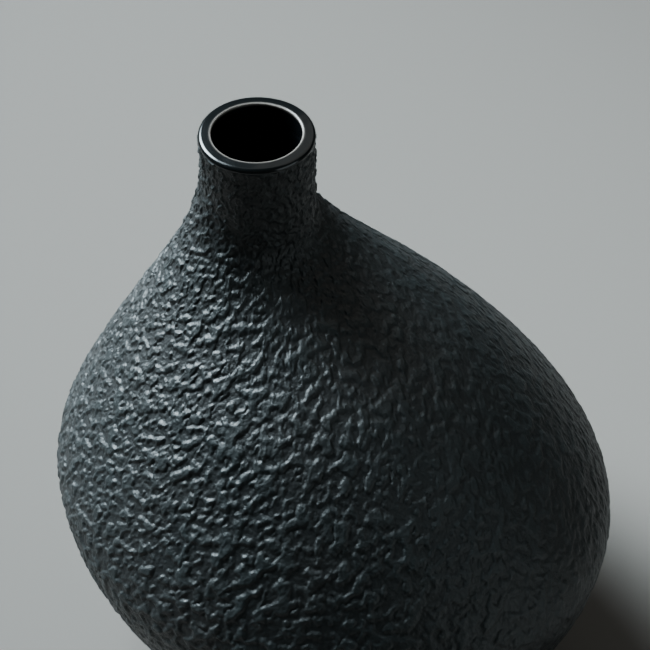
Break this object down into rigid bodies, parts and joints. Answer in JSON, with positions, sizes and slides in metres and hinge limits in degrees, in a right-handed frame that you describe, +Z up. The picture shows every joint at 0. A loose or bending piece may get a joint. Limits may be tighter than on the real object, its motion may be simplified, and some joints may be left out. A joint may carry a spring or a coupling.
{
  "type": "stoneware bud vase",
  "caption": "Small stoneware bud vase with an oval, pebble-like body, an off-centre narrow neck, a dark textured outer coat and a smooth glazed lip.",
  "frame": {"origin": "on the surface the vase stands on, under the middle of the oval body", "axes": "+Z up through the mouth, +X along the oval away from the neck, so the neck stands at -X"},
  "size_m": [0.1361, 0.121, 0.132],
  "materials": {
    "stoneware": "bare fired stoneware, matte",
    "bare_foot": "bare fired stoneware, wiped smooth, matte",
    "luting_slip": "fired joining slip, matte",
    "textured_slip": "thick crawled slip under satin charcoal glaze",
    "gloss_lining": "gloss black glaze",
    "lip_glaze": "smooth gloss black-brown glaze, thinner and paler at the arris"
  },
  "bodies": {
    "root": {"lower_bowl": "stoneware", "upper_dome": "stoneware", "neck_collar": "stoneware", "foot_ring": "bare_foot", "belly_seam_slip": "luting_slip", "neck_seam_slip": "luting_slip", "foot_seam_slip": "luting_slip", "textured_coat": "textured_slip", "lining_glaze": "gloss_lining", "lip_glaze": "lip_glaze"}
  },
  "joints": []
}
